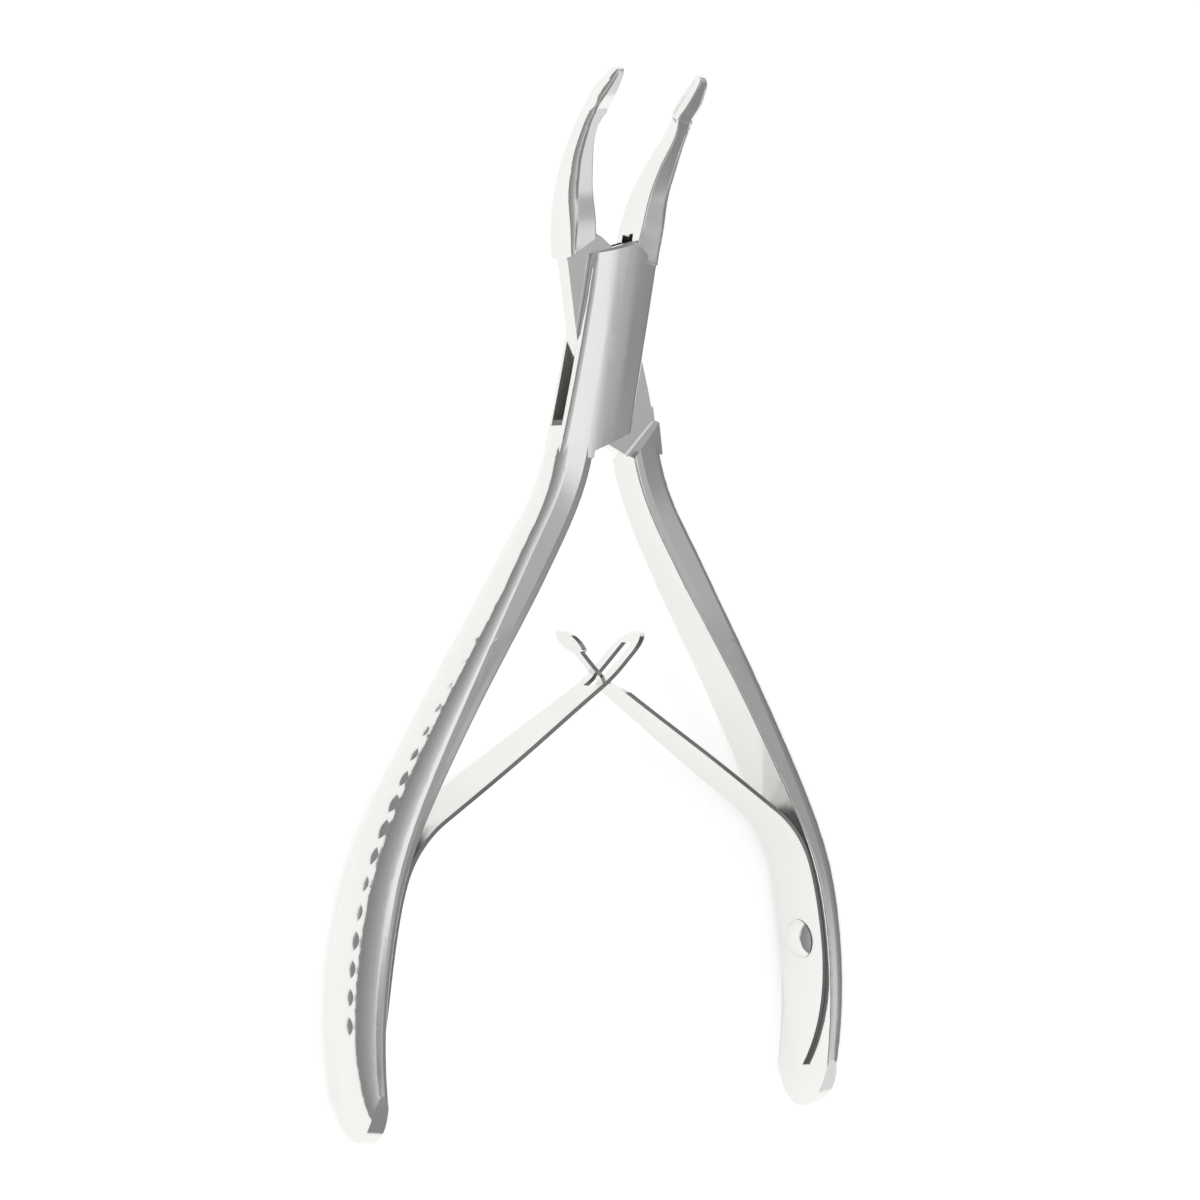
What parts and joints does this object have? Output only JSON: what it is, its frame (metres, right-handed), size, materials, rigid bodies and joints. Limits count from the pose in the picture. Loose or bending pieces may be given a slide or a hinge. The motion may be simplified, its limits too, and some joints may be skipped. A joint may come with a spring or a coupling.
{
  "type": "bone rongeur",
  "caption": "Slim curved bone rongeur: box-lock pliers of stainless steel with scooped cup jaws, ribbed handles and crossed leaf springs that push the handles apart.",
  "frame": {"origin": "on the pivot axis, on the flat underside of the box", "axes": "+Y towards the jaws, +X across the handles, +Z the side that the jaws curve towards; the rest pose is fully open"},
  "size_m": [0.0872, 0.1501, 0.0199],
  "materials": {
    "arm_steel": "satin-polished stainless steel",
    "pin_steel": "stainless steel, ground flush with the box",
    "spring_steel": "polished spring steel",
    "rivet_steel": "turned stainless steel"
  },
  "bodies": {
    "box_arm_body": {"box_arm": "arm_steel", "pivot_pin": "pin_steel", "slotted_leaf_spring": "spring_steel", "box_arm_spring_rivet": "rivet_steel"},
    "tenon_arm_body": {"tenon_arm": "arm_steel", "t_headed_leaf_spring": "spring_steel", "tenon_arm_spring_rivet": "rivet_steel"}
  },
  "joints": [
    {"name": "box_lock", "type": "hinge", "parent": "box_arm_body", "child": "tenon_arm_body", "pos_m": [0, 0, 0.003], "axis": [0, 0, -1], "range_deg": [0, 19.4], "stiffness_Nm_per_rad": 2, "springref_deg": -2.86, "deforming": ["slotted_leaf_spring", "t_headed_leaf_spring"]}
  ]
}
